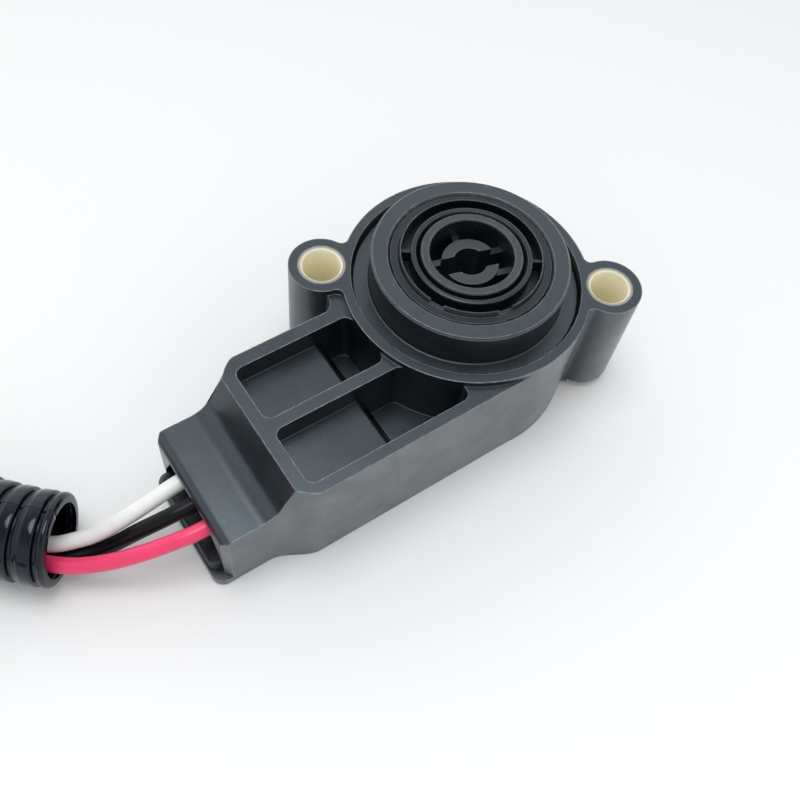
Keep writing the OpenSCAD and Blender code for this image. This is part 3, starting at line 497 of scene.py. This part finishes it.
def blend_colors(tree, factor, a, b):
    """Mixes two colours, each a plain colour or a socket, by the factor."""
    node = tree.nodes.new("ShaderNodeMix")
    node.data_type = "RGBA"
    tree.links.new(factor, node.inputs["Factor"])
    first, second, result = MIX_COLORS
    for socket, color in ((node.inputs[first], a), (node.inputs[second], b)):
        if isinstance(color, tuple):
            socket.default_value = (*color, 1.0)
        else:
            tree.links.new(color, socket)
    return node.outputs[result]


def bevel_normal(tree, radius):
    node = tree.nodes.new("ShaderNodeBevel")
    node.samples = BEVEL_SAMPLES
    node.inputs["Radius"].default_value = radius * MM
    return node.outputs["Normal"]


def edge_mask(tree, rounded):
    """1 along the piece's edges, 0 on its faces: how far the rounded normal turns from the true one."""
    plain = tree.nodes.new("ShaderNodeNewGeometry")
    return levels(tree, dot_with(tree, plain.outputs["Normal"], rounded), *EDGE_TURN, 0.0, 1.0)


def levelness(tree):
    """1 on level faces, 0 on upright ones."""
    place = tree.nodes.new("ShaderNodeTexCoord")
    parts = tree.nodes.new("ShaderNodeSeparateXYZ")
    tree.links.new(place.outputs["Normal"], parts.inputs[0])
    lean = tree.nodes.new("ShaderNodeMath")
    lean.operation = "ABSOLUTE"
    tree.links.new(parts.outputs["Z"], lean.inputs[0])
    return lean.outputs["Value"]


def upright_mask(tree):
    """1 on the piece's upright outer faces, 0 on others and inside its hollows."""
    return times(tree, levels(tree, levelness(tree), *UPRIGHT, 0.0, 1.0), open_mask(tree, WIDE_OPEN))


def open_mask(tree, band=OPEN):
    """1 on open faces, 0 deep in the piece's own hollows."""
    node = tree.nodes.new("ShaderNodeAmbientOcclusion")
    node.samples = OPEN_SAMPLES
    node.only_local = True
    node.inputs["Distance"].default_value = OPEN_REACH * MM
    return levels(tree, node.outputs["AO"], *band, 0.0, 1.0)


def relief(tree, shader, height, distance, normal):
    node = tree.nodes.new("ShaderNodeBump")
    node.inputs["Strength"].default_value = RELIEF_STRENGTH
    node.inputs["Distance"].default_value = distance * MM
    tree.links.new(height, node.inputs["Height"])
    if normal is not None:
        tree.links.new(normal, node.inputs["Normal"])
    tree.links.new(node.outputs["Normal"], shader.inputs["Normal"])


def scaled(color, factor):
    return tuple(min(1.0, c * factor) for c in color)


def chalked(tree, base, strength):
    """Painted sheen: upright outer faces made paler in blotches, standing in for the floor's light
    reflected there.
    """
    blotches = levels(tree, noise(tree, PAINTED_SHEEN_SCALE, distortion=0.8), *PAINTED_SHEEN, PAINTED_SHEEN_LEFT, 1.0)
    return blend_colors(tree, times(tree, upright_mask(tree), blotches), base,
                        scaled(PAINTED_SHEEN_TINT, strength))


def worn_and_highlit(tree, base, rounded, strength):
    """Paler, unevenly marked edges where the piece is open: partly real abrasion, partly a painted
    highlight.
    """
    scuffs = levels(tree, noise(tree, SCUFF_SCALE, detail=4.0), *SCUFF, SCUFF_LEFT, 1.0)
    rubbed_and_highlit = times(tree, times(tree, edge_mask(tree, rounded), scuffs), open_mask(tree))
    return blend_colors(tree, rubbed_and_highlit, base, scaled(WEAR_AND_HIGHLIGHT_TINT, strength))


def dusty(tree, base, strength):
    """Fine pale specks, thicker in some patches."""
    specks = levels(tree, noise(tree, SPECK_SCALE, detail=1.0), *SPECK, 0.0, 1.0)
    patches = levels(tree, noise(tree, PATCH_SCALE, detail=2.0), *PATCH, PATCH_LEFT, 1.0)
    return blend_colors(tree, times(tree, specks, patches), base, scaled(PLAIN_WHITE, strength))


def mottled(name, color, roughness, spread=0.15, cloud=230.0, grain=2600.0, grain_depth=0.02,
            edge=0.0, wear=0.0, dust=0.0, chalk=0.0, face=None, metallic=0.0, specular=0.5,
            tint=PLAIN_WHITE):
    """A moulded or plated surface: cloudy colour and gloss and fine grain. Optional: rounded edges,
    edges made paler, partly from abrasion and partly as a painted highlight, a painted sheen on
    upright outer faces, dust specks, and another colour on level faces. The grain's depth and the
    edges' radius are in millimetres."""
    material, tree, shader = new_material(name)
    clouds = noise(tree, cloud, detail=5.0, distortion=0.6)
    base = blend_colors(tree, levels(tree, clouds, *CLOUD_COLOR, 0.0, 1.0),
                        scaled(color, 1 - spread), scaled(color, 1 + spread))
    rounded = bevel_normal(tree, edge) if edge > 0 else None
    if face:
        base = blend_colors(tree, levels(tree, levelness(tree), *LEVEL, 0.0, 1.0), base, face)
    # A painted sheen on upright outer faces, then paler edges that are partly a painted highlight
    if chalk > 0:
        base = chalked(tree, base, chalk)
    if wear > 0:
        base = worn_and_highlit(tree, base, rounded, wear)
    if dust > 0:
        base = dusty(tree, base, dust)
    tree.links.new(base, shader.inputs["Base Color"])
    gloss = levels(tree, clouds, *CLOUD_GLOSS, roughness * (1 - GLOSS_SPREAD),
                   min(1.0, roughness * (1 + GLOSS_SPREAD)))
    tree.links.new(gloss, shader.inputs["Roughness"])
    relief(tree, shader, noise(tree, grain), grain_depth, rounded)
    shader.inputs["Metallic"].default_value = metallic
    shader.inputs["Specular IOR Level"].default_value = specular
    shader.inputs["Specular Tint"].default_value = (*tint, 1.0)
    return material


def black_plastic(name, color, roughness, specular=1.0, **details):
    """Satin black glass-filled plastic; its reflections are cool, except at grazing angles."""
    return mottled(name, color, roughness, specular=specular, tint=COOL, **details)


def dress(material, *names):
    for name in names:
        slots = NODES[name].data.materials
        slots.clear()
        slots.append(material)


def dress_sensor():
    # The housing's upright outer faces get a painted sheen. On all these black pieces the paler edges
    # are partly a painted highlight.
    add_housing(black_plastic("moulded_black", DEEP_BLACK, roughness=0.33, edge=0.3, wear=0.4,
                              dust=0.12, chalk=0.12))
    dress(black_plastic("cover_black", (0.0035, 0.0045, 0.0065), roughness=0.36, edge=0.22,
                        wear=0.45, dust=0.2), "front_cover")
    dress(black_plastic("ring_black", DEEP_BLACK, roughness=0.34, edge=0.15, wear=0.3,
                        specular=0.55), "bearing_ring")
    dress(black_plastic("rotor_black", (0.006, 0.0065, 0.008), roughness=0.38, edge=0.15,
                        wear=0.35, dust=0.3, specular=0.95), "rotor")
    dress(black_plastic("back_black", (0.0045, 0.0055, 0.007), roughness=0.5, edge=0.2),
          "rear_cover")
    dress(black_plastic("retainer_black", (0.006, 0.007, 0.009), roughness=0.45, edge=0.25,
                        wear=0.15, specular=0.4), "wire_retainer")
    # The sleeves' near-white cream is painted light, standing in for light the bore barely gets; their
    # level end faces are a darker colour.
    dress(mottled("passivated_painted_light", (1.0, 0.93, 0.71), roughness=0.5, spread=0.02, cloud=500.0,
                  edge=0.08, face=(0.27, 0.25, 0.21), specular=1.0),
          "bushing_left", "bushing_right")


def dress_inside():
    dress(mottled("dark_rubber", (0.012, 0.012, 0.013), roughness=0.65), "cover_seal", "wire_seal")
    dress(mottled("nickel", (0.45, 0.45, 0.47), roughness=0.3, metallic=1.0), "magnet")
    dress(mottled("spring_steel", (0.55, 0.55, 0.57), roughness=0.3, metallic=1.0),
          "magnet_keeper", "return_spring")
    dress(mottled("board_green", (0.02, 0.13, 0.06), roughness=0.35), "circuit_board")
    dress(mottled("chip_black", (0.02, 0.02, 0.02), roughness=0.5), "hall_sensor",
          "board_components")
    dress(mottled("tinned", (0.7, 0.66, 0.55), roughness=0.28, metallic=1.0), "terminals",
          "plug_terminals")


def dress_plug():
    # The plug's paler edges are partly a painted highlight.
    dress(black_plastic("plug_black", (0.014, 0.014, 0.016), roughness=0.42, edge=0.3, wear=0.08),
          "plug_shell")
    dress(mottled("lock_orange", (0.75, 0.27, 0.04), roughness=0.4, edge=0.2), "plug_lock")
    dress(mottled("silicone", (0.55, 0.16, 0.07), roughness=0.55, edge=0.2), "plug_seal")


def insulation(name, color, spread, specular=0.5):
    return mottled(name, color, roughness=0.35, spread=spread, cloud=400.0, grain_depth=0.01,
                   specular=specular)


def add_lead():
    add_wire("white_wire", WHITE_ROUTE, "wire_white",
             insulation("white_insulation", (0.76, 0.76, 0.75), 0.03))
    add_wire("black_wire", BLACK_ROUTE, "wire_black",
             insulation("black_insulation", (0.002, 0.0025, 0.004), 0.15, 0.2))
    add_wire("red_wire", RED_ROUTE, "wire_red",
             insulation("red_insulation", (0.8, 0.04, 0.135), 0.05))
    add_conduit(mottled("conduit_black", (0.002, 0.0025, 0.006), roughness=0.15, grain=700.0,
                        grain_depth=0.04, edge=0.15, specular=0.4, tint=COOL))


def floor_material():
    """Matt pale floor, faintly clouded, with painted shade that makes it darker towards the far side.
    """
    material, tree, shader = new_material("pale_floor")
    product = dot_with(tree, tree.nodes.new("ShaderNodeTexCoord").outputs["Object"], FAR_SIDE)
    shaded_sheet = blend_colors(tree, levels(tree, product, *FLOOR_SHADE_FADE, 0.0, 1.0), FLOOR_NEAR, FLOOR_FAR_PAINTED_SHADE)
    clouded = levels(tree, noise(tree, FLOOR_CLOUD_SCALE), *FLOOR_CLOUD_BAND, 0.0,
                     FLOOR_CLOUD_SHARE)
    tree.links.new(blend_colors(tree, clouded, shaded_sheet, FLOOR_CLOUD), shader.inputs["Base Color"])
    shader.inputs["Roughness"].default_value = FLOOR_ROUGHNESS
    shader.inputs["Specular IOR Level"].default_value = FLOOR_SPECULAR
    return material


def add_floor():
    bpy.ops.mesh.primitive_plane_add(size=FLOOR_SIZE, location=(0, 0, -FLOOR_DROP))
    floor = bpy.context.object
    floor.name = "floor"
    floor.data.materials.append(floor_material())


def add_softbox(name, azimuth, tilt, distance, width, height, radiance):
    """An oval lamp that looks at the part, tilted from straight overhead towards the azimuth."""
    a, t = math.radians(azimuth), math.radians(tilt)
    away = Vector((math.sin(t) * math.cos(a), math.sin(t) * math.sin(a), math.cos(t)))
    data = bpy.data.lights.new(name, "AREA")
    data.shape = "ELLIPSE"
    data.size = width
    data.size_y = height
    area = math.pi * width * height / 4
    data.energy = radiance * math.pi * area
    lamp = bpy.data.objects.new(name, data)
    lamp.location = Vector(LAMP_TARGET) + away * distance
    lamp.rotation_euler = away.to_track_quat("Z", "Y").to_euler()
    bpy.context.scene.collection.objects.link(lamp)


def add_room():
    """World light that dims overhead and behind the camera, with a white backdrop for the camera."""
    world = bpy.data.worlds.new("studio")
    world.use_nodes = True
    tree = world.node_tree
    background = tree.nodes["Background"]
    place = tree.nodes.new("ShaderNodeTexCoord").outputs["Generated"]
    parts = tree.nodes.new("ShaderNodeSeparateXYZ")
    tree.links.new(place, parts.inputs[0])
    room = times(tree, levels(tree, parts.outputs["Z"], *CEILING_BAND, HORIZON, CEILING),
                 levels(tree, dot_with(tree, place, FAR_SIDE), *BEHIND_BAND, BEHIND_CAMERA, 1.0))
    first, second, result = MIX_NUMBERS
    shown = tree.nodes.new("ShaderNodeMix")
    tree.links.new(tree.nodes.new("ShaderNodeLightPath").outputs["Is Camera Ray"],
                   shown.inputs["Factor"])
    tree.links.new(room, shown.inputs[first])
    shown.inputs[second].default_value = BACKDROP
    tree.links.new(shown.outputs[result], background.inputs["Strength"])
    background.inputs["Color"].default_value = (*AIR_TINT, 1)
    bpy.context.scene.world = world


def add_light():
    add_room()
    add_softbox("key", azimuth=225, tilt=4, distance=0.6, width=0.36, height=0.36, radiance=5.6)


def main():
    add_camera()
    add_lead()
    dress_sensor()
    dress_inside()
    dress_plug()
    add_floor()
    add_light()
    bpy.context.scene.view_settings.view_transform = "Standard"


main()
